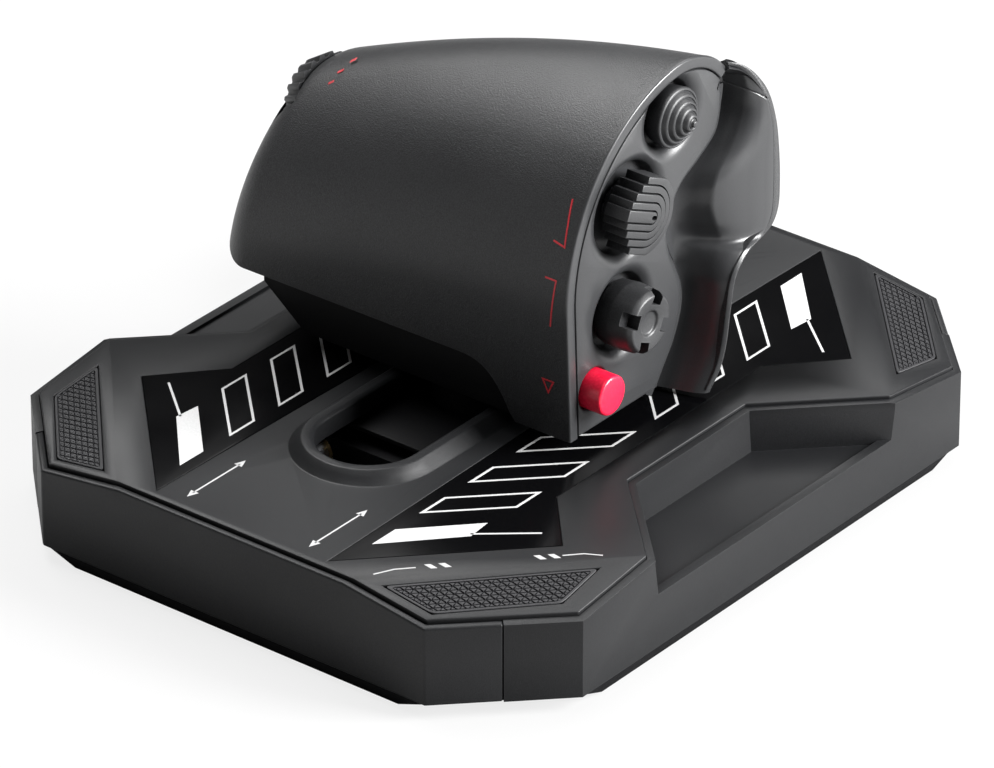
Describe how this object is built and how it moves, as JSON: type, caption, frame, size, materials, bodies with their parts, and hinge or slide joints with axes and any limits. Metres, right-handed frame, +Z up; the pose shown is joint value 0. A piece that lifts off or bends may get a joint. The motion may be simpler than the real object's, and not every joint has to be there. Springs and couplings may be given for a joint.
{
  "type": "flight throttle",
  "caption": "Left-hand flight throttle: wide palm grip with thumb hats, push button, dial and rudder rocker, sliding fore and aft on rods in a low weighted desk base.",
  "frame": {"origin": "on the desk under the centre of the base; the grip is at its rest place along the slot", "axes": "+Y away from the pilot (full thrust), +X to the pilot's right (the thumb face looks along +X), +Z up"},
  "size_m": [0.201, 0.239, 0.1393],
  "materials": {
    "shell_plastic": "fine-grained satin charcoal",
    "deck_plastic": "lightly grained satin charcoal",
    "dark_plastic": "plain black",
    "gloss_panel": "gloss black with printed light grey figures",
    "rubber_pad": "pyramid-textured black rubber",
    "control_rubber": "soft-touch dark grey",
    "thumb_plastic": "smooth satin charcoal",
    "steel": "ground",
    "brass": "turned",
    "board": "green solder mask",
    "red_plastic": "satin red"
  },
  "bodies": {
    "base": {"bottom_plate": "dark_plastic", "rear_wall": "deck_plastic", "front_wall": "deck_plastic", "left_side_wall": "deck_plastic", "right_side_wall": "deck_plastic", "deck_cover": "deck_plastic", "left_deck_inlay": "gloss_panel", "right_deck_inlay": "gloss_panel", "corner_pads": "rubber_pad", "rubber_feet": "rubber_pad", "ballast_plate": "steel", "guide_rods": "steel", "rear_rod_block": "dark_plastic", "front_rod_block": "dark_plastic", "end_bumpers": "rubber_pad", "brake_bracket": "dark_plastic", "slide_sensor_board": "board", "main_board": "board", "usb_socket": "steel", "pedal_socket": "dark_plastic", "base_screws": "steel", "mount_inserts": "brass", "brake_shoe": "rubber_pad"},
    "throttle": {"carriage": "dark_plastic", "carriage_bushes": "brass", "brake_rail": "steel", "sensor_magnet": "steel", "dust_cover": "dark_plastic", "grip_stem": "dark_plastic", "stem_screws": "steel", "under_shell": "dark_plastic", "palm_shell": "shell_plastic", "front_shell": "shell_plastic", "wing_panel": "thumb_plastic", "thumb_panel": "thumb_plastic", "end_cap": "shell_plastic", "grip_frame": "dark_plastic", "button_board": "board", "hat_switches": "steel", "dial_sensor": "dark_plastic", "rocker_pin": "steel", "grip_screws": "steel"},
    "tension_screw": {"tension_screw": "dark_plastic"},
    "red_button": {"red_button": "red_plastic"},
    "upper_hat_gimbal": {"upper_hat_gimbal": "steel"},
    "upper_hat": {"upper_hat": "control_rubber"},
    "middle_hat_gimbal": {"middle_hat_gimbal": "steel"},
    "middle_hat": {"middle_hat": "control_rubber"},
    "lower_hat_gimbal": {"lower_hat_gimbal": "steel"},
    "lower_hat": {"lower_hat": "control_rubber"},
    "dial_knob": {"dial_knob": "control_rubber"},
    "rudder_rocker": {"rudder_rocker": "control_rubber"},
    "stick_gimbal": {"stick_gimbal": "steel"},
    "mini_stick": {"mini_stick": "control_rubber"},
    "index_button": {"index_button": "control_rubber"},
    "finger_button": {"finger_button": "control_rubber"}
  },
  "joints": [
    {"name": "throttle_slide", "type": "slide", "parent": "base", "child": "throttle", "axis": [0, 1, 0], "range_m": [-0.045, 0.035]},
    {"name": "tension_turn", "type": "hinge", "parent": "base", "child": "tension_screw", "pos_m": [0, 0, 0.003], "axis": [0, 0, 1], "range_deg": [-90, 90]},
    {"name": "upper_hat_up_down", "type": "hinge", "parent": "throttle", "child": "upper_hat_gimbal", "pos_m": [0.042, 0.0178, 0.1244], "axis": [0, 0.9063, -0.4226], "range_deg": [-6, 6], "stiffness_Nm_per_rad": 0.08},
    {"name": "upper_hat_side_side", "type": "hinge", "parent": "upper_hat_gimbal", "child": "upper_hat", "pos_m": [0.042, 0.0178, 0.1244], "axis": [0, 0.4226, 0.9063], "range_deg": [-6, 6], "stiffness_Nm_per_rad": 0.08},
    {"name": "middle_hat_up_down", "type": "hinge", "parent": "throttle", "child": "middle_hat_gimbal", "pos_m": [0.042, -0.0016, 0.1028], "axis": [0, 0.9063, -0.4226], "range_deg": [-6, 6], "stiffness_Nm_per_rad": 0.08},
    {"name": "middle_hat_side_side", "type": "hinge", "parent": "middle_hat_gimbal", "child": "middle_hat", "pos_m": [0.042, -0.0016, 0.1028], "axis": [0, 0.4226, 0.9063], "range_deg": [-6, 6], "stiffness_Nm_per_rad": 0.08},
    {"name": "lower_hat_up_down", "type": "hinge", "parent": "throttle", "child": "lower_hat_gimbal", "pos_m": [0.042, -0.0042, 0.0708], "axis": [0, 0.9063, -0.4226], "range_deg": [-6, 6], "stiffness_Nm_per_rad": 0.08},
    {"name": "lower_hat_side_side", "type": "hinge", "parent": "lower_hat_gimbal", "child": "lower_hat", "pos_m": [0.042, -0.0042, 0.0708], "axis": [0, 0.4226, 0.9063], "range_deg": [-6, 6], "stiffness_Nm_per_rad": 0.08},
    {"name": "red_button_press", "type": "slide", "parent": "throttle", "child": "red_button", "axis": [-1, 0, 0], "range_m": [0, 0.0015], "stiffness_N_per_m": 600},
    {"name": "dial_turn", "type": "hinge", "parent": "throttle", "child": "dial_knob", "pos_m": [-0.064, 0.004, 0.096], "axis": [-0.9781, 0, -0.2079], "range_deg": [-60, 60]},
    {"name": "rudder_rock", "type": "hinge", "parent": "throttle", "child": "rudder_rocker", "pos_m": [-0.01, 0.018, 0.062], "axis": [0, 0, 1], "range_deg": [-7, 7], "stiffness_Nm_per_rad": 0.4},
    {"name": "stick_up_down", "type": "hinge", "parent": "throttle", "child": "stick_gimbal", "pos_m": [0.032, 0.044, 0.097], "axis": [1, 0, 0], "range_deg": [-8, 8], "stiffness_Nm_per_rad": 0.05},
    {"name": "stick_side_side", "type": "hinge", "parent": "stick_gimbal", "child": "mini_stick", "pos_m": [0.032, 0.044, 0.097], "axis": [0, 0, 1], "range_deg": [-8, 8], "stiffness_Nm_per_rad": 0.05},
    {"name": "index_button_press", "type": "slide", "parent": "throttle", "child": "index_button", "axis": [0, -1, 0], "range_m": [0, 0.0015], "stiffness_N_per_m": 600},
    {"name": "finger_button_press", "type": "slide", "parent": "throttle", "child": "finger_button", "axis": [0, -1, 0], "range_m": [0, 0.0015], "stiffness_N_per_m": 600}
  ]
}
